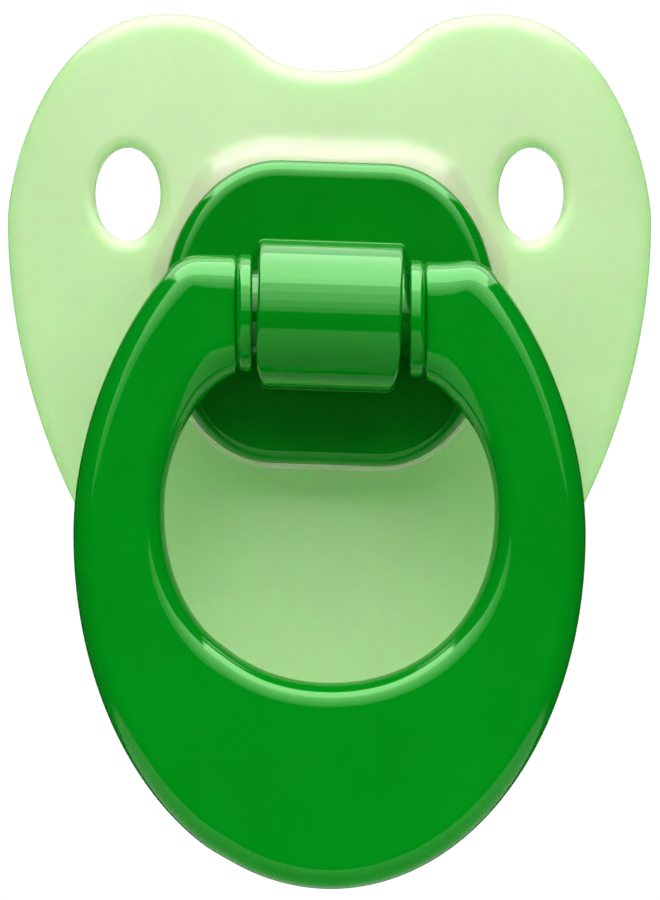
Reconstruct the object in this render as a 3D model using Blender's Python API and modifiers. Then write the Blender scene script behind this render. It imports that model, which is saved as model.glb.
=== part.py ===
"""Baby pacifier with a swinging ring: five pieces that snap together along one axis.

Metres, +Z up. The front faces -Y and the teat points to +Y. The origin is the middle of the
teat's neck, level with the rear face of the shield.

shield  heart-shaped plate bowed back towards the face, with two vents and a raised seat in front
teat    hollow silicone teat, whose flange lies in the shield's counterbore
plug    hollow plug that fills the teat's neck and clamps its flange
cover   front plate with a barrel across it, whose stem snaps into the plug
ring    pull ring, whose two trunnions turn in the ends of the barrel
"""

import math

import bmesh
import bpy

MM = 0.001

# Shield, in front view: places on the heart's outline, and how far each place's handles reach.
SHIELD_THICKNESS = 2.0 * MM
SHIELD_EDGE_RADIUS = 0.9 * MM
SHIELD_BOW_ACROSS = 50 * MM
SHIELD_BOW_ALONG = 110 * MM
SHIELD_GRID = 3.4 * MM
NOTCH_Z, NOTCH_REACH = 17.05 * MM, 6.75 * MM
LOBE_X, LOBE_Z, LOBE_REACH_IN, LOBE_REACH_OUT = 11.6 * MM, 21.1 * MM, 7.15 * MM, 8.75 * MM
SIDE_X, SIDE_Z, SIDE_REACH_UP, SIDE_REACH_DOWN = 22.7 * MM, 6.6 * MM, 2.7 * MM, 20.0 * MM
CHIN_Z, CHIN_REACH = -29.6 * MM, 8.75 * MM
VENT_X, VENT_Z = 14.2 * MM, 8.4 * MM
VENT_HALF_WIDTH, VENT_HALF_HEIGHT = 2.3 * MM, 3.3 * MM
VENT_POINTS = 20

# Depths along Y, from the shield's rear face forwards.
POCKET_FLOOR_Y = -1.0 * MM
TEAT_FLANGE_Y = -1.1 * MM
PLUG_FLANGE_REAR_Y = -2.4 * MM
PLUG_FLANGE_FRONT_Y = -3.2 * MM
SEAT_Y = -3.3 * MM
COVER_REAR_Y = -3.6 * MM
COVER_FACE_Y = -5.8 * MM
HINGE_Y = -10.4 * MM

# The seat that the cover rests on, and the holes for the neck and for the cover's pegs.
SEAT_FLARE, SEAT_STEPS = 2.0 * MM, 4
SEAT_LIP, SEAT_ROOT_Y = 0.3 * MM, -0.6 * MM
NECK_HOLE_RADIUS = 6.2 * MM
POCKET_RADIUS = 8.7 * MM
PEG_X, PEG_RADIUS, PEG_LENGTH, PEG_CLEARANCE = 10.0 * MM, 0.7 * MM, 0.9 * MM, 0.2 * MM

# Cover, in front view: two half ellipses joined by short straights.
COVER_STRAIGHT = 3.8 * MM
COVER_ROUND_X, COVER_ROUND_Z = 7.95 * MM, 10.57 * MM
COVER_EDGE_RADIUS, COVER_EDGE_STEPS = 1.1 * MM, 4
COVER_POINTS = 48
BARREL_RADIUS, BARREL_HALF_LENGTH = 5.15 * MM, 5.05 * MM
BARREL_CORNER_X, BARREL_CORNER_Z, BARREL_CORNER_STEPS = 0.7 * MM, 3.2 * MM, 5
BARREL_POINTS = 32
BORE_RADIUS, BORE_DEPTH = 3.2 * MM, 2.2 * MM
STEM_RADIUS, STEM_HEAD_RADIUS, STEM_TIP_RADIUS = 2.4 * MM, 2.95 * MM, 2.0 * MM
STEM_HEAD_LENGTH, STEM_NECK_PLAY, STEM_REAR_Y = 0.8 * MM, 0.2 * MM, 3.9 * MM
STEM_SLOT, STEM_SLOT_Y = 0.8 * MM, -1.5 * MM

# Plug: a flange and a spigot, bored for the stem and wider behind for the stem's head.
PLUG_FLANGE_RADIUS = 8.3 * MM
SPIGOT_RADIUS = 4.5 * MM
PLUG_BORE_RADIUS = 2.65 * MM
PLUG_HEAD_ROOM_RADIUS = 3.3 * MM
PLUG_SHOULDER_Y = 1.2 * MM
PLUG_REAR_Y = 4.6 * MM

# Ring, in front view: an outer and an inner oval, both cut off by the arms that reach the hinge.
RING_THICKNESS = 5.6 * MM
RING_EDGE_RADIUS = 1.6 * MM
OUTER_HALF_WIDTH, OUTER_HALF_HEIGHT, OUTER_Z = 17.75 * MM, 24.85 * MM, -15.47 * MM
INNER_HALF_WIDTH, INNER_HALF_HEIGHT, INNER_Z = 11.6 * MM, 12.2 * MM, -13.8 * MM
OUTER_TOP_POWER, INNER_BOTTOM_POWER = 1.9, 2.15
OUTER_POINTS, INNER_POINTS = 28, 22
ARM_TOP, ARM_BOTTOM, ARM_CORNER = 4.0 * MM, -4.1 * MM, 3.2 * MM
ARM_END_X = 8.0 * MM
TRUNNION_RADIUS, TRUNNION_END_X = 3.0 * MM, 3.2 * MM
COLLAR_RADIUS, COLLAR_X = 4.1 * MM, 5.6 * MM
GROOVE_X, GROOVE_DEPTH, GROOVE_HALF_WIDTH = 6.65 * MM, 0.3 * MM, 0.22 * MM
KNUCKLE_X, KNUCKLE_END_X, KNUCKLE_STEPS = 8.4 * MM, 12.8 * MM, 5

# Teat: its outer skin as sections, each (y, half width, height above, depth below the axis).
TEAT_WALL = 1.2 * MM
TEAT_FLANGE_RADIUS = 8.4 * MM
TEAT_TIP_Y = 27.4 * MM
TEAT_SECTIONS = (
    (TEAT_FLANGE_Y, 6.0 * MM, 6.0 * MM, 6.0 * MM),
    (5.4 * MM, 5.9 * MM, 5.85 * MM, 5.9 * MM),
    (9.4 * MM, 5.8 * MM, 4.7 * MM, 5.1 * MM),
    (13.2 * MM, 6.8 * MM, 5.2 * MM, 4.7 * MM),
    (17.4 * MM, 8.2 * MM, 7.0 * MM, 4.9 * MM),
    (21.5 * MM, 8.1 * MM, 7.3 * MM, 4.8 * MM),
)
TEAT_SEGMENTS = 24
TEAT_STEPS = 2
TEAT_TIP_STEPS, TEAT_TIP_TURN = 5, math.radians(80)

FACING_FRONT = (math.radians(90), 0.0, 0.0)
FACING_REAR = (math.radians(-90), 0.0, 0.0)
FACING_RIGHT = (0.0, math.radians(90), 0.0)
FACING_LEFT = (0.0, math.radians(-90), 0.0)
ACROSS = (math.radians(90), 0.0, math.radians(-90))


def remove_everything():
    for obj in list(bpy.data.objects):
        bpy.data.objects.remove(obj)


def new_collection(name):
    made = bpy.data.collections.new(name)
    bpy.context.scene.collection.children.link(made)
    return made


def plastic(name, colour, roughness, alpha=1.0, transmission=0.0):
    material = bpy.data.materials.new(name)
    material.use_nodes = True
    shader = material.node_tree.nodes["Principled BSDF"]
    shader.inputs["Base Color"].default_value = (*colour, 1.0)
    shader.inputs["Roughness"].default_value = roughness
    shader.inputs["Metallic"].default_value = 0.0
    shader.inputs["Alpha"].default_value = alpha
    shader.inputs["Transmission Weight"].default_value = transmission
    return material


def mesh_object(name, mesh, location=(0, 0, 0), rotation=(0, 0, 0)):
    obj = bpy.data.objects.new(name, mesh)
    obj.location = location
    obj.rotation_euler = rotation
    cutters.objects.link(obj)
    obj.hide_render = True
    obj.display_type = "WIRE"
    return obj


def keep(obj, material):
    """Move a finished piece from the cutters to the object's own collection."""
    cutters.objects.unlink(obj)
    pacifier.objects.link(obj)
    obj.hide_render = False
    obj.display_type = "TEXTURED"
    obj.data.materials.clear()
    obj.data.materials.append(material)
    obj.data.shade_smooth()
    obj.data.set_sharp_from_angle(angle=math.radians(35))


def combine(obj, other, operation):
    modifier = obj.modifiers.new(operation.title() + " " + other.name, "BOOLEAN")
    modifier.operation = operation
    modifier.object = other
    modifier.solver = "EXACT"


def evaluated_mesh(obj):
    bpy.context.view_layer.update()
    graph = bpy.context.evaluated_depsgraph_get()
    return bpy.data.meshes.new_from_object(obj.evaluated_get(graph))


def ellipse(half_width, half_height, count, x=0.0, z=0.0):
    turn = 2 * math.pi / count
    return [
        (x + half_width * math.cos(turn * i), z + half_height * math.sin(turn * i))
        for i in range(count)
    ]


def add_outline(curve, points):
    """Add a closed outline through plain points."""
    spline = curve.splines.new("POLY")
    spline.points.add(len(points) - 1)
    for point, (x, z) in zip(spline.points, points):
        point.co = (x, z, 0.0, 1.0)
    spline.use_cyclic_u = True


def add_smooth_outline(curve, places, resolution):
    """Add a closed outline through (place, handle before, handle after)."""
    spline = curve.splines.new("BEZIER")
    spline.bezier_points.add(len(places) - 1)
    for point, (place, before, after) in zip(spline.bezier_points, places):
        point.co = (*place, 0.0)
        point.handle_left = (*before, 0.0)
        point.handle_right = (*after, 0.0)
    spline.use_cyclic_u = True
    spline.resolution_u = resolution


def flat_curve(name, thickness, edge_radius, steps):
    """A filled front-view curve, whose rounded edges stay inside the drawn outline."""
    curve = bpy.data.curves.new(name, "CURVE")
    curve.dimensions = "2D"
    curve.fill_mode = "BOTH"
    curve.extrude = thickness / 2 - edge_radius
    curve.bevel_depth = edge_radius
    curve.bevel_resolution = steps
    curve.offset = -edge_radius
    return curve


def solid_from_curve(curve, location, rotation):
    """A curve made a mesh, with its caps welded on, so that Booleans can take it."""
    drawn = bpy.data.objects.new(curve.name, curve)
    cutters.objects.link(drawn)
    drawn.location = location
    drawn.rotation_euler = rotation
    mesh = evaluated_mesh(drawn)
    bpy.data.objects.remove(drawn)
    bm = bmesh.new()
    bm.from_mesh(mesh)
    bmesh.ops.remove_doubles(bm, verts=bm.verts, dist=0.001 * MM)
    bmesh.ops.recalc_face_normals(bm, faces=bm.faces)
    bm.to_mesh(mesh)
    bm.free()
    return mesh_object(curve.name, mesh, location, rotation)


def flat_solid(name, points, front_y, rear_y):
    """A front-view outline between two depths, with square edges."""
    curve = flat_curve(name, rear_y - front_y, 0.0, 0)
    add_outline(curve, points)
    return solid_from_curve(curve, (0, (front_y + rear_y) / 2, 0), FACING_FRONT)


def turned(name, profile, segments, location, rotation, closed=False):
    """A profile of (radius, height) that runs down its outer side, turned round local Z."""
    bm = bmesh.new()
    verts = [bm.verts.new((radius, 0.0, height)) for radius, height in profile]
    for first, second in zip(verts, verts[1:] + (verts[:1] if closed else [])):
        bm.edges.new((first, second))
    mesh = bpy.data.meshes.new(name)
    bm.to_mesh(mesh)
    bm.free()
    obj = mesh_object(name, mesh, location, rotation)
    screw = obj.modifiers.new("Turn", "SCREW")
    screw.steps = segments
    screw.render_steps = segments
    screw.use_merge_vertices = True
    screw.merge_threshold = 0.000001
    return obj


def cylinder(name, radius, start, end, segments, location, rotation):
    """A round bar along local Z, from start to end."""
    profile = ((0.0, end), (radius, end), (radius, start), (0.0, start))
    return turned(name, profile, segments, location, rotation)


def loft(name, rings, cap_start):
    """A skin over rings of as many points each, closed at its end and, if asked, at its start."""
    bm = bmesh.new()
    rows = [[bm.verts.new(place) for place in ring] for ring in rings]
    count = len(rows[0])
    for near, far in zip(rows, rows[1:]):
        for i in range(count):
            j = (i + 1) % count
            bm.faces.new((near[i], near[j], far[j], far[i]))
    bm.faces.new(rows[-1])
    if cap_start:
        bm.faces.new(rows[0])
    bmesh.ops.recalc_face_normals(bm, faces=bm.faces)
    mesh = bpy.data.meshes.new(name)
    bm.to_mesh(mesh)
    bm.free()
    return mesh


def cover_outline(grow=0.0):
    """The outline of the cover, grown by a margin, with the right half first."""
    half = COVER_POINTS // 2
    points = []
    for side in (1, -1):
        for i in range(half):
            angle = side * math.pi * (i / (half - 1) - 0.5)
            x = side * (COVER_STRAIGHT + (COVER_ROUND_X + grow) * math.cos(angle))
            points.append((x, side * (COVER_ROUND_Z + grow) * math.sin(side * angle)))
    return points


def heart_outline():
    """Places round the heart, clockwise from the notch, with their handles."""
    right = (
        ((LOBE_X, LOBE_Z), (LOBE_X - LOBE_REACH_IN, LOBE_Z), (LOBE_X + LOBE_REACH_OUT, LOBE_Z)),
        ((SIDE_X, SIDE_Z), (SIDE_X, SIDE_Z + SIDE_REACH_UP), (SIDE_X, SIDE_Z - SIDE_REACH_DOWN)),
    )
    notch = ((0.0, NOTCH_Z), (-NOTCH_REACH, NOTCH_Z), (NOTCH_REACH, NOTCH_Z))
    chin = ((0.0, CHIN_Z), (CHIN_REACH, CHIN_Z), (-CHIN_REACH, CHIN_Z))
    left = [
        ((-place[0], place[1]), (-after[0], after[1]), (-before[0], before[1]))
        for place, before, after in reversed(right)
    ]
    return [notch, *right, chin, *left]


def cut_into_cells(bm, spacing):
    """Cut the mesh along a square grid, and leave each cell of its two flat sides one face."""
    reach = int(max(SIDE_X, -CHIN_Z) / spacing) + 1
    for step in range(-reach, reach + 1):
        for axis in ((1, 0, 0), (0, 1, 0)):
            place = [step * spacing * part for part in axis]
            everything = list(bm.verts) + list(bm.edges) + list(bm.faces)
            bmesh.ops.bisect_plane(bm, geom=everything, plane_co=place, plane_no=axis, dist=1e-7)

    def on_grid(edge):
        first, second = (vert.co for vert in edge.verts)
        for axis in (0, 1):
            line = round(first[axis] / spacing) * spacing
            if abs(first[axis] - line) < 1e-6 and abs(second[axis] - line) < 1e-6:
                return True
        return False

    inner = [
        edge
        for edge in bm.edges
        if len(edge.link_faces) == 2
        and all(abs(face.normal.z) > 0.9999 for face in edge.link_faces)
        and not on_grid(edge)
    ]
    bmesh.ops.dissolve_edges(bm, edges=inner, use_verts=True)


def bow(x, z):
    """How far back from the middle the shield lies at a place in front view."""
    return x * x / (2 * SHIELD_BOW_ACROSS) + z * z / (2 * SHIELD_BOW_ALONG)


def make_shield_plate():
    curve = flat_curve("shield", SHIELD_THICKNESS, SHIELD_EDGE_RADIUS, 2)
    add_smooth_outline(curve, heart_outline(), 9)
    for side in (1, -1):
        vent = ellipse(VENT_HALF_WIDTH, VENT_HALF_HEIGHT, VENT_POINTS, side * VENT_X, VENT_Z)
        add_outline(curve, vent)
    plate = solid_from_curve(curve, (0, -SHIELD_THICKNESS / 2, 0), FACING_FRONT)
    bm = bmesh.new()
    bm.from_mesh(plate.data)
    cut_into_cells(bm, SHIELD_GRID)
    for vert in bm.verts:
        vert.co.z -= bow(vert.co.x, vert.co.y)
    bmesh.ops.triangulate(bm, faces=bm.faces)
    bm.to_mesh(plate.data)
    bm.free()
    return plate


def make_seat():
    """The raised seat under the cover: its sides sweep out as they go back into the plate."""
    sections = [(0.0, SEAT_Y)]
    for step in range(SEAT_STEPS + 1):
        share = step / SEAT_STEPS
        depth = SEAT_Y + SEAT_LIP + share * (SEAT_ROOT_Y - SEAT_Y - SEAT_LIP)
        sections.append((SEAT_FLARE * share * share, depth))
    rings = [[(x, y, z) for x, z in cover_outline(grow)] for grow, y in sections]
    return mesh_object("seat", loft("seat", rings, cap_start=True))


def make_shield():
    shield = make_shield_plate()
    combine(shield, make_seat(), "UNION")
    past = 2 * SEAT_Y
    neck_hole = cylinder("neck_hole", NECK_HOLE_RADIUS, past, -past, 40, (0, 0, 0), FACING_REAR)
    combine(shield, neck_hole, "DIFFERENCE")
    floor = (0, POCKET_FLOOR_Y, 0)
    pocket = cylinder("flange_pocket", POCKET_RADIUS, past, 0.0, 48, floor, FACING_REAR)
    combine(shield, pocket, "DIFFERENCE")
    radius, depth = PEG_RADIUS + PEG_CLEARANCE, COVER_REAR_Y + PEG_LENGTH + PEG_CLEARANCE
    for name, x in (("peg_hole_right", PEG_X), ("peg_hole_left", -PEG_X)):
        hole = cylinder(name, radius, past, 0.0, 12, (x, depth, 0), FACING_REAR)
        combine(shield, hole, "DIFFERENCE")
    keep(shield, plastic("shield_plastic", (0.56, 0.78, 0.40), 0.25, alpha=0.9))


def teat_rings():
    """The teat's outer skin as rings of (x, y, z), from the edge of its flange to its tip."""
    sections = [(TEAT_FLANGE_Y, TEAT_FLANGE_RADIUS, TEAT_FLANGE_RADIUS, TEAT_FLANGE_RADIUS)]
    padded = (TEAT_SECTIONS[0], *TEAT_SECTIONS, TEAT_SECTIONS[-1])
    for before, start, end, after in zip(padded, padded[1:], padded[2:], padded[3:]):
        for step in range(TEAT_STEPS):
            sections.append(between(before, start, end, after, step / TEAT_STEPS))
    last_y, *widest = TEAT_SECTIONS[-1]
    for step in range(TEAT_TIP_STEPS + 1):
        angle = TEAT_TIP_TURN * step / TEAT_TIP_STEPS
        y = last_y + (TEAT_TIP_Y - last_y) * math.sin(angle)
        sections.append((y, *(size * math.cos(angle) for size in widest)))
    turn = 2 * math.pi / TEAT_SEGMENTS
    for y, half_width, above, below in sections:
        ring = []
        for i in range(TEAT_SEGMENTS):
            height = math.sin(turn * i)
            height *= above if height > 0 else below
            ring.append((half_width * math.cos(turn * i), y, height))
        yield ring


def between(before, start, end, after, share):
    """A smooth step from start to end, by the Catmull-Rom rule."""
    weights = (
        share * (-0.5 + share * (1.0 - 0.5 * share)),
        1.0 + share * share * (1.5 * share - 2.5),
        share * (0.5 + share * (2.0 - 1.5 * share)),
        share * share * (0.5 * share - 0.5),
    )
    return tuple(
        sum(weight * value for weight, value in zip(weights, values))
        for values in zip(before, start, end, after)
    )


def make_teat():
    teat = mesh_object("teat", loft("teat", list(teat_rings()), cap_start=False))
    wall = teat.modifiers.new("Wall", "SOLIDIFY")
    wall.thickness = TEAT_WALL
    wall.offset = -1.0
    wall.use_even_offset = True
    keep(teat, plastic("clear_silicone", (0.86, 0.86, 0.82), 0.2, alpha=0.6, transmission=0.5))


def make_plug():
    profile = (
        (PLUG_BORE_RADIUS, -PLUG_FLANGE_FRONT_Y),
        (PLUG_FLANGE_RADIUS - 0.3 * MM, -PLUG_FLANGE_FRONT_Y),
        (PLUG_FLANGE_RADIUS, -PLUG_FLANGE_FRONT_Y - 0.3 * MM),
        (PLUG_FLANGE_RADIUS, -PLUG_FLANGE_REAR_Y),
        (SPIGOT_RADIUS, -PLUG_FLANGE_REAR_Y),
        (SPIGOT_RADIUS, -PLUG_REAR_Y + 1.2 * MM),
        (SPIGOT_RADIUS - 0.5 * MM, -PLUG_REAR_Y),
        (PLUG_HEAD_ROOM_RADIUS, -PLUG_REAR_Y),
        (PLUG_HEAD_ROOM_RADIUS, -PLUG_SHOULDER_Y),
        (PLUG_BORE_RADIUS, -PLUG_SHOULDER_Y),
    )
    plug = turned("plug", profile, 40, (0, 0, 0), FACING_FRONT, closed=True)
    keep(plug, plastic("plug_plastic", (0.80, 0.85, 0.78), 0.35))


def make_cover_plate():
    """The plate, square where it lies on the seat and rounded round its front."""
    sections = [(0.0, COVER_REAR_Y)]
    for step in range(COVER_EDGE_STEPS + 1):
        angle = math.pi / 2 * step / COVER_EDGE_STEPS
        inset = COVER_EDGE_RADIUS * (1 - math.cos(angle))
        sections.append((-inset, COVER_FACE_Y + COVER_EDGE_RADIUS * (1 - math.sin(angle))))
    rings = [[(x, y, z) for x, z in cover_outline(grow)] for grow, y in sections]
    return mesh_object("cover", loft("cover", rings, cap_start=True))


def barrel_outline():
    """The barrel in front view: square corners above and drawn-in round corners below."""
    corner = []
    for step in range(BARREL_CORNER_STEPS + 1):
        angle = math.pi / 2 * step / BARREL_CORNER_STEPS
        x = BARREL_HALF_LENGTH - BARREL_CORNER_X * (1 - math.cos(angle))
        corner.append((x, BARREL_CORNER_Z * (1 - math.sin(angle)) - BARREL_RADIUS))
    right = [(BARREL_HALF_LENGTH, BARREL_RADIUS), *corner]
    return right + [(-x, z) for x, z in reversed(right)]


def make_barrel():
    """A round bar on the hinge line with a web back into the plate, trimmed to its outline."""
    section = []
    for i in range(BARREL_POINTS + 1):
        angle = math.pi * (i / BARREL_POINTS - 0.5)
        section.append((BARREL_RADIUS * math.cos(angle), BARREL_RADIUS * math.sin(angle)))
    root = HINGE_Y - (COVER_FACE_Y + COVER_REAR_Y) / 2
    section += [(root, BARREL_RADIUS), (root, -BARREL_RADIUS)]
    curve = flat_curve("barrel", 3 * BARREL_HALF_LENGTH, 0.0, 0)
    add_outline(curve, section)
    barrel = solid_from_curve(curve, (0, HINGE_Y, 0), ACROSS)
    front_y = HINGE_Y - 2 * BARREL_RADIUS
    outline = flat_solid("barrel_outline", barrel_outline(), front_y, COVER_REAR_Y)
    combine(barrel, outline, "INTERSECT")
    return barrel


def make_stem():
    """The cover's stem, whose head springs open behind the plug's shoulder."""
    front = COVER_REAR_Y - STEM_RADIUS / 2
    neck = PLUG_SHOULDER_Y + STEM_NECK_PLAY
    profile = (
        (0.0, STEM_REAR_Y),
        (STEM_TIP_RADIUS, STEM_REAR_Y),
        (STEM_HEAD_RADIUS, neck + STEM_HEAD_LENGTH),
        (STEM_HEAD_RADIUS, neck),
        (STEM_RADIUS, neck),
        (STEM_RADIUS, front),
        (0.0, front),
    )
    return turned("stem", profile, 24, (0, 0, 0), FACING_REAR)


def make_cover():
    cover = make_cover_plate()
    combine(cover, make_barrel(), "UNION")
    for name, facing in (("bore_right", FACING_RIGHT), ("bore_left", FACING_LEFT)):
        start, end = BARREL_HALF_LENGTH - BORE_DEPTH, BARREL_HALF_LENGTH + BORE_DEPTH
        bore = cylinder(name, BORE_RADIUS, start, end, 32, (0, HINGE_Y, 0), facing)
        combine(cover, bore, "DIFFERENCE")
    combine(cover, make_stem(), "UNION")
    right, top = STEM_SLOT / 2, STEM_HEAD_RADIUS + STEM_SLOT
    outline = [(right, top), (right, -top), (-right, -top), (-right, top)]
    slot = flat_solid("stem_slot", outline, STEM_SLOT_Y, STEM_REAR_Y + STEM_SLOT)
    combine(cover, slot, "DIFFERENCE")
    for name, x in (("peg_right", PEG_X), ("peg_left", -PEG_X)):
        place = (x, COVER_REAR_Y, 0)
        peg = cylinder(name, PEG_RADIUS, -PEG_LENGTH, PEG_LENGTH, 12, place, FACING_REAR)
        combine(cover, peg, "UNION")
    keep(cover, plastic("cover_plastic", (0.0, 0.20, 0.01), 0.12))


def rounded_below(value, limit, width):
    """The smaller of two heights, with the corner where they meet rounded off."""
    mix = max(width - abs(value - limit), 0.0) / width
    return min(value, limit) - mix * mix * width / 4


def oval_half(half_width, half_height, middle, top_power, bottom_power, start_x, count):
    """The right half of an oval, from start_x on its top round to its lowest point."""
    start = math.acos(min(1.0, start_x / half_width) ** (top_power / 2))
    for i in range(count):
        angle = start - (start + math.pi / 2) * i / count
        power = top_power if angle > 0 else bottom_power
        rise = half_height * abs(math.sin(angle)) ** (2 / power)
        yield half_width * math.cos(angle) ** (2 / power), middle + math.copysign(rise, angle)
    yield 0.0, middle - half_height


def ring_outline():
    """A C in front view, open at the hinge: down the right outside and back up the inside."""
    outer_oval = oval_half(
        OUTER_HALF_WIDTH, OUTER_HALF_HEIGHT, OUTER_Z, OUTER_TOP_POWER, 2.0, ARM_END_X, OUTER_POINTS
    )
    inner_oval = oval_half(
        INNER_HALF_WIDTH, INNER_HALF_HEIGHT, INNER_Z, 2.0, INNER_BOTTOM_POWER, ARM_END_X, INNER_POINTS
    )
    outer = [(x, rounded_below(z, ARM_TOP, ARM_CORNER)) for x, z in outer_oval]
    inner = [(x, min(z, ARM_BOTTOM)) for x, z in inner_oval]
    outer_left = [(-x, z) for x, z in reversed(outer[:-1])]
    inner_left = [(-x, z) for x, z in inner]
    return outer + outer_left + inner_left + inner[-2::-1]


def knuckle_profile():
    """An arm's end, from its far end inside the arm to the tip of its trunnion."""
    reach = KNUCKLE_END_X - KNUCKLE_X
    profile = []
    for step in range(KNUCKLE_STEPS):
        angle = math.pi / 2 * (1 - step / KNUCKLE_STEPS)
        profile.append((COLLAR_RADIUS * math.cos(angle), KNUCKLE_X + reach * math.sin(angle)))
    profile[0] = (0.0, KNUCKLE_END_X)
    profile += [
        (COLLAR_RADIUS, KNUCKLE_X),
        (COLLAR_RADIUS, GROOVE_X + GROOVE_HALF_WIDTH),
        (COLLAR_RADIUS - GROOVE_DEPTH, GROOVE_X),
        (COLLAR_RADIUS, GROOVE_X - GROOVE_HALF_WIDTH),
        (COLLAR_RADIUS, COLLAR_X + 0.2 * MM),
        (COLLAR_RADIUS - 0.2 * MM, COLLAR_X),
        (TRUNNION_RADIUS, COLLAR_X),
        (TRUNNION_RADIUS, TRUNNION_END_X + 0.3 * MM),
        (TRUNNION_RADIUS - 0.3 * MM, TRUNNION_END_X),
        (0.0, TRUNNION_END_X),
    ]
    return profile


def make_ring():
    curve = flat_curve("ring", RING_THICKNESS, RING_EDGE_RADIUS, 2)
    add_outline(curve, ring_outline())
    ring = solid_from_curve(curve, (0, HINGE_Y, 0), FACING_FRONT)
    for name, facing in (("knuckle_right", FACING_RIGHT), ("knuckle_left", FACING_LEFT)):
        knuckle = turned(name, knuckle_profile(), 32, (0, HINGE_Y, 0), facing)
        combine(ring, knuckle, "UNION")
    keep(ring, plastic("ring_plastic", (0.0, 0.26, 0.01), 0.12))


remove_everything()
pacifier = new_collection("pacifier")
cutters = new_collection("cutters")
make_shield()
make_teat()
make_plug()
make_cover()
make_ring()
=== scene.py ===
"""Looks for the baby pacifier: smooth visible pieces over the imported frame, in a light studio.

Shapes are worked out in millimetres, in the frame's own axes: the front faces -Y, the teat points
to +Y and the ring hangs down.
"""

import math

import bmesh
import bpy
import numpy as np
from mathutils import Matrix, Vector
from mathutils.geometry import delaunay_2d_cdt


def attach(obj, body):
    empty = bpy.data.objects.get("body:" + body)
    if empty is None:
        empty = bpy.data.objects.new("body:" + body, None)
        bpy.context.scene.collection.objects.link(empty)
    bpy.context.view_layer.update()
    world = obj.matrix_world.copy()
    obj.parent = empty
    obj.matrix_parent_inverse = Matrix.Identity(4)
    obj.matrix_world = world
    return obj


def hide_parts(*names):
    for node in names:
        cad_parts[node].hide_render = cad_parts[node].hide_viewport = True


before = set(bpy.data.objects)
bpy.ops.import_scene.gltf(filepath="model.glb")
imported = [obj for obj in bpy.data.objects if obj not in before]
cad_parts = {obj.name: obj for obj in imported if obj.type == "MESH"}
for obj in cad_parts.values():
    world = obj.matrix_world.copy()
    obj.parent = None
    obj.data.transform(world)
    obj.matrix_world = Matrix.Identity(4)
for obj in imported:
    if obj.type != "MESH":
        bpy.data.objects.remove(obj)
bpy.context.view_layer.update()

MM = 0.001
QUARTER = math.pi / 2

# Shield
SHIELD_THICKNESS = 2.0
BOW_ACROSS, BOW_ALONG = 50.0, 110.0
NOTCH_Z, NOTCH_REACH = 17.05, 6.75
LOBE_X, LOBE_Z, LOBE_REACH_IN, LOBE_REACH_OUT = 11.6, 21.1, 7.15, 8.75
SIDE_X, SIDE_Z, SIDE_REACH_UP, SIDE_REACH_DOWN = 22.7, 6.6, 2.7, 20.0
CHIN_Z, CHIN_REACH = -29.6, 8.75
HEART_POINTS = 264
SHIELD_FRONT_ROUND, SHIELD_REAR_ROUND = 1.1, 0.8
VENT_X, VENT_Z, VENT_HALF_WIDTH, VENT_HALF_HEIGHT = 14.2, 8.4, 2.3, 3.3
VENT_POINTS = 56
VENT_FRONT_ROUND, VENT_REAR_ROUND = 0.9, 0.7
SEAT_Y, SEAT_LIP_Y, SEAT_STEPS = -3.3, -3.0, 12
SEAT_CURVE = 2.5
SEAT_FLARE, SEAT_FLARE_BY_VENT, SEAT_FLARE_BELOW = 2.3, 0.75, 0.4
# The seat's flare widens this far from a vent's middle, and above this height.
VENT_CLEARANCE, VENT_FADE = 4.0, 3.0
FLARE_FROM_Z, FLARE_FADE = -1.0, 7.0
POCKET_FLOOR_Y, POCKET_RADIUS = -1.0, 8.7
NECK_HOLE_RADIUS, NECK_HOLE_ROUND = 6.2, 0.4
ROUND_STEPS = 7
SHIELD_SPACING = 0.85
HOLD = 0.05  # width of the narrow strip that keeps a flat's shading flat beside a rounded edge

# Cover
COVER_STRAIGHT, COVER_ROUND_X, COVER_ROUND_Z = 3.8, 7.95, 10.65
COVER_REAR_Y, COVER_FACE_Y = -3.6, -5.8
COVER_EDGE_ROUND, COVER_STEPS = 1.1, 10
COVER_POINTS = 120
COVER_REAR_INSET, COVER_REAR_CHAMFER = 0.9, 0.15
COVER_SPACING, BARREL_END_SPACING = 0.9, 0.7
HINGE_Y = -10.4
# Slope to the right of the cover, its barrel and the ring's arms.
HANG = math.tan(math.radians(1.9))
DROP = 0.2  # how far the barrel's and arms' outsides sit below the hinge's axis
BARREL_RADIUS, BARREL_HALF_LENGTH = 5.15, 5.05
BARREL_CORNER_X, BARREL_CORNER_Z = 0.7, 3.2
BARREL_EDGE_ROUND, BARREL_ROOT_ROUND = 0.28, 0.12
BARREL_ARC_POINTS, BARREL_EDGE_STEPS, BARREL_ROOT_STEPS = 65, 6, 5
BORE_RADIUS, BORE_DEPTH, BORE_MOUTH, BORE_POINTS = 3.2, 2.2, 0.15, 64
STEM_RADIUS, STEM_HEAD_RADIUS, STEM_TIP_RADIUS = 2.4, 2.95, 2.0
STEM_HEAD_Y, STEM_REAR_Y, STEM_POINTS = 1.4, 3.9, 48

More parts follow.
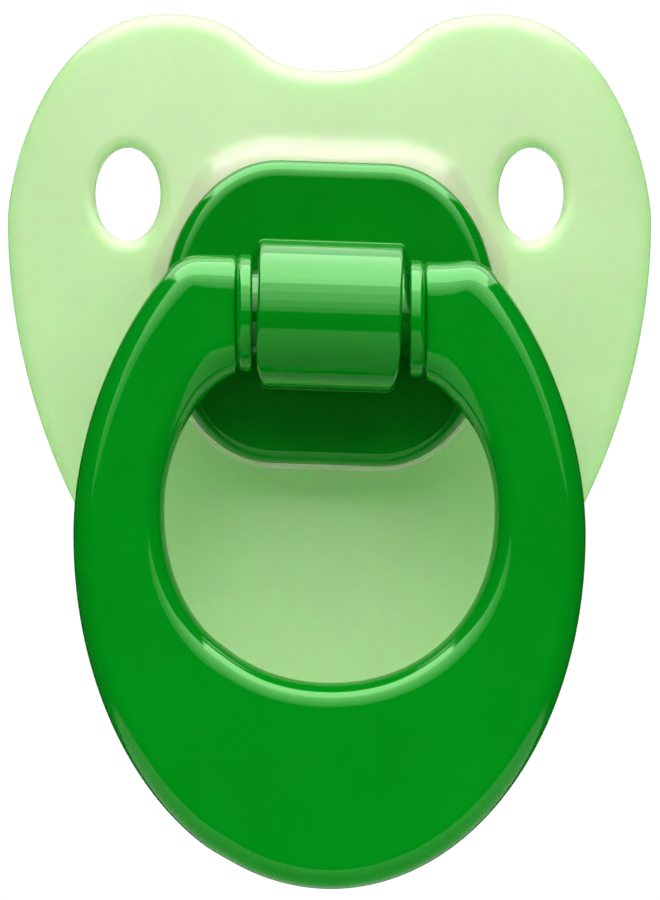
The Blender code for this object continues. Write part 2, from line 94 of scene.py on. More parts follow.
# Ring
RING_HALF_THICKNESS = 2.8
RING_SECTIONS, RING_ROUND_STEPS = 110, 9
OUTER_HALF_WIDTH, OUTER_HALF_HEIGHT, OUTER_Z = 17.93, 24.85, -15.47
INNER_HALF_WIDTH, INNER_HALF_HEIGHT, INNER_Z = 11.55, 12.08, -13.8
OUTER_TOP_POWER, OUTER_BOTTOM_POWER, INNER_BOTTOM_POWER = 1.86, 2.03, 2.15
ARM_TOP, ARM_BOTTOM, ARM_CORNER, ARM_END_X = 4.0, -4.1, 1.3, 7.0
ARM_INNER_CORNER = 0.8
ARM_TAPER = 6.0
OUTER_ROUND, OUTER_ROUND_MORE = 1.6, 0.75  # on the ring's body, and how much more at the arms
INNER_ROUND, INNER_ROUND_MORE = 1.7, 0.9
ROUND_DEPTH = 1.2  # an edge round's depth for its width
TRUNNION_RADIUS, TRUNNION_END_X = 3.0, 3.2
TRUNNION_STRIP = 0.35  # its last strip before the collar, which takes up the collar's drop
COLLAR_RADIUS, COLLAR_X, COLLAR_EDGE_ROUND = 4.1, 5.6, 0.22
GROOVE_X, GROOVE_DEPTH = 6.65, 0.32
# The left collar stands nearer the barrel. Everything on the left moves with it, the lower bar too,
# and the shift fades out beyond the arm's end.
LEFT_COLLAR_SHIFT, SHIFT_FADE = 0.2, 2.0
# The arms take on the cover's slope between these distances from the middle, and above this height.
HANG_FROM_X, HANG_FADE_IN = 5.3, 0.25
HANG_TO_X, HANG_FADE_OUT = 7.5, 4.5
HANG_FROM_Z, HANG_FADE_UP = -12, 4

# Teat
TEAT_WALL, TEAT_FLANGE_RADIUS, TEAT_TIP_Y = 1.2, 8.4, 27.3
TEAT_POINTS, TEAT_STEPS, TEAT_TIP_STEPS, TEAT_TIP_ANGLE = 72, 7, 15, 86
# Each is y, half width, and height above and below the middle.
TEAT_SECTIONS = (
    (-1.1, 6.0, 6.0, 6.0),
    (5.4, 5.9, 5.85, 5.9),
    (9.4, 5.8, 4.7, 5.1),
    (13.2, 6.8, 5.2, 4.7),
    (17.4, 8.2, 7.0, 4.9),
    (21.5, 8.1, 7.3, 4.8),
)

scene = bpy.context.scene


# Shapes


def mesh_from(name, points, faces):
    """A closed, outward-facing, smooth mesh in metres from points in millimetres."""
    bm = bmesh.new()
    verts = [bm.verts.new(Vector(place) * MM) for place in points]
    for face in faces:
        bm.faces.new([verts[i] for i in face])
    bmesh.ops.remove_doubles(bm, verts=bm.verts, dist=0.002 * MM)
    bmesh.ops.dissolve_degenerate(bm, edges=bm.edges, dist=0.0005 * MM)
    bmesh.ops.recalc_face_normals(bm, faces=bm.faces)
    mesh = bpy.data.meshes.new(name)
    bm.to_mesh(mesh)
    bm.free()
    mesh.shade_smooth()
    return mesh


def piece(name, mesh, material, body, nodes):
    obj = bpy.data.objects.new(name, mesh)
    scene.collection.objects.link(obj)
    mesh.materials.append(material)
    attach(obj, body)
    if nodes:
        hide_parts(*nodes)
    return obj


class Skin:
    """Points and faces of one piece, in millimetres."""

    def __init__(self):
        self.points = []
        self.faces = []

    def row(self, places):
        start = len(self.points)
        self.points += [tuple(float(value) for value in place) for place in places]
        return list(range(start, len(self.points)))

    def strip(self, near, far, closed=True):
        count = len(near)
        for i in range(count if closed else count - 1):
            j = (i + 1) % count
            self.faces.append((near[i], near[j], far[j], far[i]))

    def grid(self, rows, closed=True):
        """Strips between rows of places, and the index rows they used."""
        rows = [self.row(places) for places in rows]
        for near, far in zip(rows, rows[1:]):
            self.strip(near, far, closed)
        return rows

    def cap(self, row):
        """Close a ring of points with a fan round its middle."""
        middle = np.mean([self.points[i] for i in row], axis=0)
        centre = self.row([middle])[0]
        count = len(row)
        for i in range(count):
            self.faces.append((row[i], row[(i + 1) % count], centre))

    def fill(self, loops, spacing, place):
        """Triangles over the flat area inside the first loop and outside the others.

        Loops are arrays of (u, v), and place turns arrays u, v into points.
        """
        flat = np.concatenate([*loops, inner_points(loops, spacing)])
        edges = []
        start = 0
        for loop in loops:
            count = len(loop)
            edges += [(start + i, start + (i + 1) % count) for i in range(count)]
            start += count
        made = delaunay_2d_cdt([Vector(uv) for uv in flat], edges, [], 0, 1e-6)
        flat = np.array([tuple(uv) for uv in made[0]])
        faces = np.array(made[2])
        middles = flat[faces].mean(axis=1)
        kept = inside(middles, loops[0])
        for loop in loops[1:]:
            kept &= ~inside(middles, loop)
        row = self.row(place(flat[:, 0], flat[:, 1]))
        self.faces += [tuple(row[i] for i in face) for face in faces[kept]]


def inside(places, loop):
    """Which places lie inside a closed loop."""
    start, end = loop, np.roll(loop, -1, axis=0)
    found = np.zeros(len(places), bool)
    for (x1, y1), (x2, y2) in zip(start, end):
        if y1 == y2:
            continue
        crosses = (places[:, 1] > y1) != (places[:, 1] > y2)
        found ^= crosses & (places[:, 0] < x1 + (places[:, 1] - y1) * (x2 - x1) / (y2 - y1))
    return found


def distance_to(places, loop):
    start, end = loop, np.roll(loop, -1, axis=0)
    along = end - start
    length = np.maximum((along**2).sum(axis=1), 1e-12)
    away = places[:, None, :] - start[None]
    share = np.clip((away * along[None]).sum(axis=2) / length[None], 0, 1)
    return np.linalg.norm(away - share[..., None] * along[None], axis=2).min(axis=1)


def inner_points(loops, spacing):
    """A staggered grid of places inside the first loop, clear of every loop."""
    low, high = loops[0].min(axis=0), loops[0].max(axis=0)
    rise = spacing * math.sqrt(3) / 2
    rows = []
    for k, v in enumerate(np.arange(low[1], high[1], rise)):
        u = np.arange(low[0] + (k % 2) * spacing / 2, high[0], spacing)
        rows.append(np.stack([u, np.full(len(u), v)], axis=1))
    places = np.concatenate(rows)
    kept = inside(places, loops[0])
    for loop in loops[1:]:
        kept &= ~inside(places, loop)
    places = places[kept]
    for loop in loops:
        places = places[distance_to(places, loop) > spacing * 0.6]
    return places


def outward(loop):
    """The outward unit normal at each point of a closed loop that runs either way."""
    along = np.roll(loop, -1, axis=0) - np.roll(loop, 1, axis=0)
    normal = np.stack([along[:, 1], -along[:, 0]], axis=1)
    normal /= np.linalg.norm(normal, axis=1)[:, None]
    x, y = loop[:, 0], loop[:, 1]
    area = (x * np.roll(y, -1) - y * np.roll(x, -1)).sum()
    return normal if area > 0 else -normal


def evenly(loop, count):
    """A closed loop with its points an equal way apart."""
    closed = np.concatenate([loop, loop[:1]])
    gone = np.concatenate([[0], np.cumsum(np.linalg.norm(np.diff(closed, axis=0), axis=1))])
    at = np.linspace(0, gone[-1], count, endpoint=False)
    return np.stack([np.interp(at, gone, closed[:, k]) for k in (0, 1)], axis=1)


def bezier(start, start_handle, end_handle, end, count):
    for i in range(count):
        t = i / count
        weights = ((1 - t) ** 3, 3 * t * (1 - t) ** 2, 3 * t * t * (1 - t), t**3)
        places = (start, start_handle, end_handle, end)
        yield tuple(sum(w * place[k] for w, place in zip(weights, places)) for k in (0, 1))


def smooth(value):
    """0 below 0 and 1 above 1, with an even slope change between."""
    value = np.clip(value, 0.0, 1.0)
    return value * value * (3 - 2 * value)


def ellipse(half_width, half_height, count, x=0.0, z=0.0):
    angle = np.linspace(0, 2 * math.pi, count, endpoint=False)
    return np.stack([x + half_width * np.cos(angle), z + half_height * np.sin(angle)], axis=1)


def with_depth(loop, y):
    """Points of a front-view loop at one depth, or at a depth each."""
    return np.stack([loop[:, 0], np.broadcast_to(y, len(loop)), loop[:, 1]], axis=1)


# Shield


def bow(x, z):
    return x * x / (2 * BOW_ACROSS) + z * z / (2 * BOW_ALONG)


def heart_loop():
    notch, lobe, side, chin = (0, NOTCH_Z), (LOBE_X, LOBE_Z), (SIDE_X, SIDE_Z), (0, CHIN_Z)
    right = [
        *bezier(notch, (NOTCH_REACH, NOTCH_Z), (LOBE_X - LOBE_REACH_IN, LOBE_Z), lobe, 60),
        *bezier(
            lobe, (LOBE_X + LOBE_REACH_OUT, LOBE_Z), (SIDE_X, SIDE_Z + SIDE_REACH_UP), side, 60
        ),
        *bezier(side, (SIDE_X, SIDE_Z - SIDE_REACH_DOWN), (CHIN_REACH, CHIN_Z), chin, 90),
    ]
    left = [(-x, z) for x, z in [chin, *reversed(right[1:])]]
    return evenly(np.array(right + left), HEART_POINTS)


def cover_loop(grow=0.0):
    """The cover's outline grown by a margin."""
    half = COVER_POINTS // 2
    angle = math.pi * (np.arange(half) / (half - 1) - 0.5)
    x = COVER_STRAIGHT + (COVER_ROUND_X + grow) * np.cos(angle)
    z = (COVER_ROUND_Z + grow) * np.sin(angle)
    loop = np.concatenate([np.stack([x, z], axis=1), np.stack([-x, -z], axis=1)])
    return evenly(loop, COVER_POINTS)


def hung(loop):
    """A front-view loop turned by the cover's slope."""
    return loop @ np.array([[1.0, -HANG], [HANG, 1.0]]) / math.hypot(1.0, HANG)


def rounded_edge(skin, loop, normal, depth, radius, side):
    """Rows from the wall to the flat of a convex edge whose flat lies inward of the loop.

    depth gives the flat's Y at x, z, and side is 1 if the wall lies to +Y of it.
    """
    rows = []
    for step in range(ROUND_STEPS + 1):
        angle = QUARTER * step / ROUND_STEPS
        places = loop - normal * radius * (1 - math.cos(angle))
        y = depth(places[:, 0], places[:, 1]) + side * radius * (1 - math.sin(angle))
        rows.append(with_depth(places, y))
    places = loop - normal * (radius + HOLD)
    rows.append(with_depth(places, depth(places[:, 0], places[:, 1])))
    return skin.grid(rows), places


def shield_front(x, z):
    return bow(x, z) - SHIELD_THICKNESS


def seat_flare():
    """How far the seat's slope reaches out from each point of the cover's outline.

    It is wide above the cover, narrow beside the vents and a mere lip below.
    """
    loop = hung(cover_loop())
    away = np.hypot(np.abs(loop[:, 0]) - VENT_X, loop[:, 1] - VENT_Z)
    above = SEAT_FLARE_BY_VENT + (SEAT_FLARE - SEAT_FLARE_BY_VENT) * smooth(
        (away - VENT_CLEARANCE) / VENT_FADE
    )
    upper = smooth((loop[:, 1] - FLARE_FROM_Z) / FLARE_FADE)
    return SEAT_FLARE_BELOW + (above - SEAT_FLARE_BELOW) * upper


def make_shield(material):
    skin = Skin()
    heart = heart_loop()
    front_loops, rear_loops = [], []
    rims = [(heart, outward(heart), SHIELD_FRONT_ROUND, SHIELD_REAR_ROUND)]
    for side in (1, -1):
        vent = ellipse(VENT_HALF_WIDTH, VENT_HALF_HEIGHT, VENT_POINTS, side * VENT_X, VENT_Z)
        rims.append((vent, -outward(vent), VENT_FRONT_ROUND, VENT_REAR_ROUND))
    for loop, normal, front_round, rear_round in rims:
        front, inner = rounded_edge(skin, loop, normal, shield_front, front_round, 1)
        front_loops.append(inner)
        rear, inner = rounded_edge(skin, loop, normal, bow, rear_round, -1)
        rear_loops.append(inner)
        skin.strip(front[0], rear[0])

    rows = []
    edge = hung(cover_loop())
    slope = outward(edge) * seat_flare()[:, None]
    front_loops.append(edge + slope)
    for step in range(SEAT_STEPS + 1):
        share = 1 - step / SEAT_STEPS
        loop = edge + slope * share
        plate = shield_front(loop[:, 0], loop[:, 1])
        rise = (1 - share) ** SEAT_CURVE
        rows.append(with_depth(loop, plate + (SEAT_LIP_Y - plate) * rise))
    lip = SEAT_LIP_Y - SEAT_Y
    for step in range(1, 5):
        angle = QUARTER * step / 4
        loop = hung(cover_loop(-lip * (1 - math.cos(angle))))
        rows.append(with_depth(loop, SEAT_LIP_Y - lip * math.sin(angle)))
    seat = hung(cover_loop(-lip))
    angle = np.arctan2(seat[:, 1], seat[:, 0])
    circle = np.stack([np.cos(angle), np.sin(angle)], axis=1)
    for radius, y in (
        (POCKET_RADIUS, SEAT_Y),
        (POCKET_RADIUS, POCKET_FLOOR_Y),
        (NECK_HOLE_RADIUS, POCKET_FLOOR_Y),
    ):
        rows.append(with_depth(circle * radius, y))
    for step in range(5):
        angle = QUARTER * (1 - step / 4)
        loop = circle * (NECK_HOLE_RADIUS + NECK_HOLE_ROUND * (1 - math.sin(angle)))
        y = bow(loop[:, 0], loop[:, 1]) - NECK_HOLE_ROUND * (1 - math.cos(angle))
        rows.append(with_depth(loop, y))
    rear_loops.append(loop)
    skin.grid(rows)

    def front(x, z):
        return np.stack([x, shield_front(x, z), z], axis=1)

    def rear(x, z):
        return np.stack([x, bow(x, z), z], axis=1)

    skin.fill(front_loops, SHIELD_SPACING, front)
    skin.fill(rear_loops, SHIELD_SPACING, rear)
    mesh = mesh_from("shield_plate", skin.points, skin.faces)
    return piece("shield_plate", mesh, material, "holder", ["shield"])


# Cover


def barrel_reach(z):
    """How far the barrel's ends lie from the middle at a height: drawn in at its lower corners."""
    below = np.clip((BARREL_CORNER_Z - BARREL_RADIUS - DROP - z) / BARREL_CORNER_Z, 0.0, 1.0)
    return BARREL_HALF_LENGTH - BARREL_CORNER_X * (1 - np.sqrt(1 - below * below))


def barrel_section():
    """The barrel's section from its top root round the front to its lower root.

    Each entry is (y, z, outward y, outward z).
    """
    root = COVER_FACE_Y - BARREL_ROOT_ROUND
    top, bottom = BARREL_RADIUS - DROP, -BARREL_RADIUS - DROP
    section = [(y, top, 0.0, 1.0) for y in np.linspace(root, HINGE_Y, 6)[:-1]]
    for angle in np.linspace(QUARTER, -QUARTER, BARREL_ARC_POINTS):
        out_y, out_z = -math.cos(angle), math.sin(angle)
        y, z = HINGE_Y + BARREL_RADIUS * out_y, BARREL_RADIUS * out_z - DROP
        section.append((y, z, out_y, out_z))
    section += [(y, bottom, 0.0, -1.0) for y in np.linspace(HINGE_Y, root, 6)[1:]]
    return section


def barrel_rows():
    """Rows across the barrel, from one end's edge to the other's, down its section."""
    for y, z, out_y, out_z in barrel_section():
        edge = []
        for step in range(BARREL_EDGE_STEPS + 1):
            angle = QUARTER * step / BARREL_EDGE_STEPS
            inset = BARREL_EDGE_ROUND * (1 - math.cos(angle))
            at_y, at_z = y - out_y * inset, z - out_z * inset
            reach = barrel_reach(at_z) - BARREL_EDGE_ROUND * (1 - math.sin(angle))
            edge.append((reach, at_y, at_z))
        middle = np.linspace(edge[0][0], -edge[0][0], 13)[1:-1]
        left = [(-x, at_y, at_z) for x, at_y, at_z in edge]
        yield [*reversed(edge), *((x, y, z) for x in middle), *left]


def make_cover(material):
    skin = Skin()
    rows = [
        with_depth(cover_loop(-COVER_REAR_INSET), COVER_REAR_Y),
        with_depth(cover_loop(-COVER_REAR_CHAMFER), COVER_REAR_Y),
        with_depth(cover_loop(), COVER_REAR_Y - COVER_REAR_CHAMFER),
    ]
    for step in range(COVER_STEPS + 1):
        angle = QUARTER * step / COVER_STEPS
        loop = cover_loop(-COVER_EDGE_ROUND * (1 - math.cos(angle)))
        rows.append(with_depth(loop, COVER_FACE_Y + COVER_EDGE_ROUND * (1 - math.sin(angle))))
    rim = cover_loop(-COVER_EDGE_ROUND - HOLD)
    rows.append(with_depth(rim, COVER_FACE_Y))
    made = skin.grid(rows)
    skin.cap(made[0])

    barrel = [skin.row(row) for row in barrel_rows()]
    for near, far in zip(barrel, barrel[1:]):
        skin.strip(near, far, closed=False)
    ends = {}
    for side, column in ((1, 0), (-1, -1)):
        edge = [row[column] for row in barrel]
        root_z = [skin.points[edge[0]][2], skin.points[edge[-1]][2]]
        root_y = COVER_FACE_Y - BARREL_ROOT_ROUND
        heights = np.linspace(root_z[1], root_z[0], 22)[1:-1]
        base = skin.row([(side * barrel_reach(z), root_y, z) for z in heights])
        ends[side] = (edge, base)
        outline = np.array([skin.points[i][1:] for i in edge + base])
        mouth = BORE_RADIUS + BORE_MOUTH
        bore = ellipse(mouth, mouth, BORE_POINTS, HINGE_Y, 0.0)

        def end_face(y, z, side=side):
            return np.stack([side * barrel_reach(z), y, z], axis=1)

        skin.fill([outline, bore], BARREL_END_SPACING, end_face)
        wall = []
        for grow, depth in ((BORE_MOUTH, 0.0), (0.04, 0.05), (0.0, BORE_MOUTH), (0.0, BORE_DEPTH)):
            radius = BORE_RADIUS + grow
            circle = ellipse(radius, radius, BORE_POINTS, HINGE_Y, 0.0)
            x = barrel_reach(circle[:, 1]) - depth
            if depth == BORE_DEPTH:
                x = np.full(len(circle), BARREL_HALF_LENGTH - BORE_DEPTH)
            wall.append(np.stack([side * x, circle[:, 0], circle[:, 1]], axis=1))
        skin.cap(skin.grid(wall)[-1])

    top, bottom = barrel[0], barrel[-1]
    foot = [*top, *reversed(ends[-1][1]), *reversed(bottom), *ends[1][1]]
    outline = np.array([(skin.points[i][0], skin.points[i][2]) for i in foot])
    normal = outward(outline)
    rows = []
    for step in range(BARREL_ROOT_STEPS + 1):
        angle = QUARTER * step / BARREL_ROOT_STEPS
        places = outline + normal * BARREL_ROOT_ROUND * (1 - math.cos(angle))
        y = COVER_FACE_Y - BARREL_ROOT_ROUND * (1 - math.sin(angle))
        rows.append(with_depth(places, y))
    places = outline + normal * (BARREL_ROOT_ROUND + HOLD)
    rows.append(with_depth(places, COVER_FACE_Y))
    skin.grid(rows)

    def face(x, z):
        return np.stack([x, np.full(len(x), COVER_FACE_Y), z], axis=1)

    skin.fill([rim, places], COVER_SPACING, face)
    for i, (x, y, z) in enumerate(skin.points):
        x, z = hung(np.array([[x, z]]))[0]
        skin.points[i] = (x, y, z)
    mesh = mesh_from("cover_front", skin.points, skin.faces)
    mesh.set_sharp_from_angle(angle=math.radians(50))
    return piece("cover_front", mesh, material, "holder", ["cover"])


def turned(skin, profile, count):
    """A profile of (radius, y) turned round the Y axis, closed at both ends."""
    rows = [with_depth(ellipse(radius, radius, count), y) for radius, y in profile]
    made = skin.grid(rows)
    skin.cap(made[0])
    skin.cap(made[-1])


def make_stem(material):
    """The cover's stem, whose head holds behind the plug's shoulder."""
    skin = Skin()
    head = STEM_HEAD_Y
    profile = (
        (STEM_RADIUS, COVER_REAR_Y + 0.05),
        (STEM_RADIUS, head - 0.1),
        (STEM_RADIUS + 0.1, head),
        (STEM_HEAD_RADIUS - 0.1, head),
        (STEM_HEAD_RADIUS, head + 0.1),
        (STEM_HEAD_RADIUS, head + 0.75),
        (STEM_TIP_RADIUS + 0.1, STEM_REAR_Y - 0.2),
        (STEM_TIP_RADIUS - 0.15, STEM_REAR_Y),
    )
    turned(skin, profile, STEM_POINTS)
    mesh = mesh_from("cover_stem", skin.points, skin.faces)
    mesh.set_sharp_from_angle(angle=math.radians(40))
    return piece("cover_stem", mesh, material, "holder", [])


# Ring


def rounded_below(value, limit, width):
    """The smaller of two heights, with the corner where they meet rounded off."""
    mix = np.maximum(width - np.abs(value - limit), 0.0) / width
    return np.minimum(value, limit) - mix * mix * width / 4


def oval_half(half_width, half_height, middle, top_power, bottom_power, count):
    """The right half of an oval, from the arm's end round to its lowest point."""
    start = math.acos((ARM_END_X / half_width) ** (top_power / 2))
    angle = np.linspace(start, -QUARTER, count)
    power = np.where(angle > 0, top_power, bottom_power)
    x = half_width * np.maximum(np.cos(angle), 0.0) ** (2 / power)
    rise = half_height * np.abs(np.sin(angle)) ** (2 / power)
    x[-1] = 0.0
    return np.stack([x, middle + np.sign(angle) * rise], axis=1)


def inward(half, towards_inside):
    """Unit normals into the ring's material along a right half that is mirrored below."""
    mirror = half[-2:-1] * (-1, 1)
    before = np.concatenate([half[:1], half[:-1]])
    after = np.concatenate([half[1:], mirror])
    along = after - before
    along /= np.linalg.norm(along, axis=1)[:, None]
    normal = np.stack([along[:, 1], -along[:, 0]], axis=1)
    return normal if towards_inside else -normal


def ring_section(outer, outer_in, inner, inner_in, rounds):
    """One closed section of the ring between a point of its outside and one of its opening."""
    steps, half = RING_ROUND_STEPS, RING_HALF_THICKNESS
    outer_round, inner_round = rounds
    outer_deep, inner_deep = (min(half - 0.15, ROUND_DEPTH * value) for value in rounds)
    front = []
    for step in range(steps + 1):
        angle = QUARTER * step / steps
        place = outer + outer_in * outer_round * (1 - math.cos(angle))
        front.append((*place, half - outer_deep * (1 - math.sin(angle))))
    edge = []
    for step in range(steps, -1, -1):
        angle = QUARTER * step / steps
        place = inner + inner_in * inner_round * (1 - math.cos(angle))
        edge.append((*place, half - inner_deep * (1 - math.sin(angle))))
    start, end = np.array(front[-1]), np.array(edge[0])
    hold = HOLD / np.linalg.norm(end - start)
    flat = [start + (end - start) * share for share in (hold, 0.25, 0.5, 0.75, 1 - hold)]
    profile = [*front, *(tuple(place) for place in flat), *edge]
    forward = [(x, HINGE_Y - depth, z) for x, z, depth in profile]
    backward = [(x, HINGE_Y + depth, z) for x, z, depth in reversed(profile)]
    return np.array(forward + backward)


def ring_sections():
    """Sections of the right half of the ring, from the arm's end to its lowest point."""
    count = RING_SECTIONS
    outer = oval_half(
        OUTER_HALF_WIDTH, OUTER_HALF_HEIGHT, OUTER_Z, OUTER_TOP_POWER, OUTER_BOTTOM_POWER, count
    )
    inner = oval_half(
        INNER_HALF_WIDTH, INNER_HALF_HEIGHT, INNER_Z, 2.0, INNER_BOTTOM_POWER, count
    )
    outer[:, 1] = rounded_below(outer[:, 1], ARM_TOP, ARM_CORNER)
    inner[:, 1] = rounded_below(inner[:, 1], ARM_BOTTOM, ARM_INNER_CORNER)
    outer_in, inner_in = inward(outer, True), inward(inner, False)
    outer_in[0], inner_in[0] = (0, -1), (0, 1)
    for i in range(count):
        reach = (outer[i, 0] + inner[i, 0]) / 2 - ARM_END_X
        near = 1 - smooth(reach / ARM_TAPER) if i < count // 2 else 0.0
        rounds = (OUTER_ROUND + OUTER_ROUND_MORE * near, INNER_ROUND + INNER_ROUND_MORE * near)
        yield ring_section(outer[i], outer_in[i], inner[i], inner_in[i], rounds)


def knuckle_sections(arm):
    """Sections from the trunnion's tip to the arm's end, on the right."""
    centre = np.array([0.0, HINGE_Y, 0.0])
    away = arm - centre
    away[:, 0] = 0.0
    out = away / np.linalg.norm(away, axis=1)[:, None]
    groove = COLLAR_RADIUS - GROOVE_DEPTH
    profile = [
        (TRUNNION_RADIUS - 0.3, TRUNNION_END_X),
        (TRUNNION_RADIUS - 0.09, TRUNNION_END_X + 0.09),
        (TRUNNION_RADIUS, TRUNNION_END_X + 0.3),
        (TRUNNION_RADIUS, COLLAR_X - TRUNNION_STRIP),
        (TRUNNION_RADIUS, COLLAR_X),
    ]
    for step in range(6):
        angle = QUARTER * step / 5
        radius = COLLAR_RADIUS - COLLAR_EDGE_ROUND * (1 - math.sin(angle))
        profile.append((radius, COLLAR_X + COLLAR_EDGE_ROUND * (1 - math.cos(angle))))
    profile += [
        (COLLAR_RADIUS, GROOVE_X - 0.34),
        (COLLAR_RADIUS - 0.04, GROOVE_X - 0.22),
        (groove, GROOVE_X),
    ]
    for radius, x in profile:
        yield centre + out * radius + (x, 0.0, 0.0)
    for share, x in ((0.94, GROOVE_X + 0.06), (0.975, GROOVE_X + 0.12), (0.995, GROOVE_X + 0.22)):
        place = centre + away * share
        place[:, 0] = x
        yield place


def make_ring(material):
    skin = Skin()
    arm = list(ring_sections())
    right = [*knuckle_sections(arm[0]), *arm]
    left = []
    for section in reversed(right[:-1]):
        near = 1 - smooth((section[:, :1] - ARM_END_X) / SHIFT_FADE)
        left.append(section * (-1, 1, 1) + near * (LEFT_COLLAR_SHIFT, 0, 0))
    for section in right + left:
        x, z = section[:, 0], section[:, 2]
        away = np.abs(x)
        near = smooth((away - HANG_FROM_X) / HANG_FADE_IN)
        near = near * (1 - smooth((away - HANG_TO_X) / HANG_FADE_OUT))
        section[:, 2] -= (HANG * x + DROP) * near * smooth((z - HANG_FROM_Z) / HANG_FADE_UP)
    made = skin.grid(right + left)
    skin.cap(made[0])
    skin.cap(made[-1])
    mesh = mesh_from("ring_pull", skin.points, skin.faces)
    mesh.set_sharp_from_angle(angle=math.radians(48))
    return piece("ring_pull", mesh, material, "pull_ring", ["ring"])


# Teat


def between(before, start, end, after, share):
    """A smooth step from start to end, by the Catmull-Rom rule."""
    weights = (
        share * (-0.5 + share * (1.0 - 0.5 * share)),
        1.0 + share * share * (1.5 * share - 2.5),
        share * (0.5 + share * (2.0 - 1.5 * share)),
        share * share * (0.5 * share - 0.5),
    )
    return tuple(
        sum(weight * value for weight, value in zip(weights, values))
        for values in zip(before, start, end, after)
    )


def teat_rows(shrink):
    """Sections of the teat's skin from its neck to near its tip, drawn in by the wall."""
    padded = (TEAT_SECTIONS[0], *TEAT_SECTIONS, TEAT_SECTIONS[-1])
    sections = []
    for before, start, end, after in zip(padded, padded[1:], padded[2:], padded[3:]):
        for step in range(TEAT_STEPS):
            sections.append(between(before, start, end, after, step / TEAT_STEPS))
    last_y, *widest = TEAT_SECTIONS[-1]
    tip = TEAT_TIP_Y - last_y - shrink
    widest = [size - shrink for size in widest]
    for step in range(TEAT_TIP_STEPS):
        angle = math.radians(TEAT_TIP_ANGLE) * step / (TEAT_TIP_STEPS - 1)
        sizes = [size * math.cos(angle) + shrink for size in widest]
        sections.append((last_y + tip * math.sin(angle), *sizes))
    angle = np.linspace(0, 2 * math.pi, TEAT_POINTS, endpoint=False)
    for y, half_width, above, below in sections:
        x = (half_width - shrink) * np.cos(angle)
        rise = np.where(np.sin(angle) > 0, above - shrink, below - shrink) * np.sin(angle)
        yield np.stack([x, np.full(TEAT_POINTS, y), rise], axis=1)


def make_teat(material):
    skin = Skin()
    outer, inner = list(teat_rows(0.0)), list(teat_rows(TEAT_WALL))
    round_row = ellipse(1.0, 1.0, TEAT_POINTS)
    flange = []
    front = TEAT_SECTIONS[0][0] - TEAT_WALL
    for radius, y in (
        (TEAT_FLANGE_RADIUS - 0.1, front),
        (TEAT_FLANGE_RADIUS, front + 0.1),
        (TEAT_FLANGE_RADIUS, front + TEAT_WALL - 0.1),
        (TEAT_FLANGE_RADIUS - 0.1, front + TEAT_WALL),
    ):
        flange.append(with_depth(round_row * radius, y))
    rows = [with_depth(round_row * (TEAT_SECTIONS[0][1] - TEAT_WALL), front), *flange, *outer]
    made = skin.grid(rows)
    skin.cap(made[-1])
    inside_made = skin.grid(inner)
    skin.cap(inside_made[-1])
    skin.strip(made[0], inside_made[0])
    mesh = mesh_from("teat_silicone", skin.points, skin.faces)
    mesh.set_sharp_from_angle(angle=math.radians(50))
    return piece("teat_silicone", mesh, material, "holder", ["teat"])


# Materials


def new_material(name):
    material = bpy.data.materials.new(name)
    material.use_nodes = True
    tree = material.node_tree
    return material, tree, tree.nodes["Principled BSDF"]


def noise(tree, scale, detail):
    """Noise in the object's own place, so that it stays on the piece as it moves."""
    where = tree.nodes.new("ShaderNodeTexCoord")
    made = tree.nodes.new("ShaderNodeTexNoise")
    made.inputs["Scale"].default_value = scale
    made.inputs["Detail"].default_value = detail
    tree.links.new(where.outputs["Object"], made.inputs["Vector"])
    return made.outputs["Fac"]


def ramp(tree, value, stops):
    """Colours by a value from 0 to 1."""
    made = tree.nodes.new("ShaderNodeValToRGB")
    elements = made.color_ramp.elements
    while len(elements) < len(stops):
        elements.new(0.5)
    for element, (place, colour) in zip(elements, stops):
        element.position = place
        element.color = (*colour, 1.0)
    tree.links.new(value, made.inputs["Fac"])
    return made.outputs["Color"]


def spread(tree, value, low, high):
    """A noise's usual span, stretched from low to high."""
    made = tree.nodes.new("ShaderNodeMapRange")
    made.inputs["From Min"].default_value = 0.3
    made.inputs["From Max"].default_value = 0.7
    made.inputs["To Min"].default_value = low
    made.inputs["To Max"].default_value = high
    tree.links.new(value, made.inputs["Value"])
    return made.outputs["Result"]


def bumps(tree, shader, layers):
    """Stack bump layers of (height, distance in millimetres, strength)."""
    before = None
    for height, distance, strength in layers:
        bump = tree.nodes.new("ShaderNodeBump")
        bump.inputs["Distance"].default_value = distance * MM
        bump.inputs["Strength"].default_value = strength
        tree.links.new(height, bump.inputs["Height"])
        if before:
            tree.links.new(before, bump.inputs["Normal"])
        before = bump.outputs["Normal"]
    tree.links.new(before, shader.inputs["Normal"])


def glossy_plastic(name, dark, light, rough, tint):
    """Polished injection-moulded plastic: faint mottle, a slight waviness and hairline wear."""
    material, tree, shader = new_material(name)
    colour = ramp(tree, noise(tree, 160, 4), ((0.3, dark), (0.7, light)))
    tree.links.new(colour, shader.inputs["Base Color"])
    tree.links.new(spread(tree, noise(tree, 420, 6), *rough), shader.inputs["Roughness"])
    shader.inputs["IOR"].default_value = 1.5
    shader.inputs["Specular IOR Level"].default_value = 1.0
    shader.inputs["Specular Tint"].default_value = (*tint, 1.0)
    layers = (
        (noise(tree, 60, 2), 0.02, 0.25),
        (noise(tree, 2600, 3), 0.002, 0.15),
    )
    bumps(tree, shader, layers)
    return material


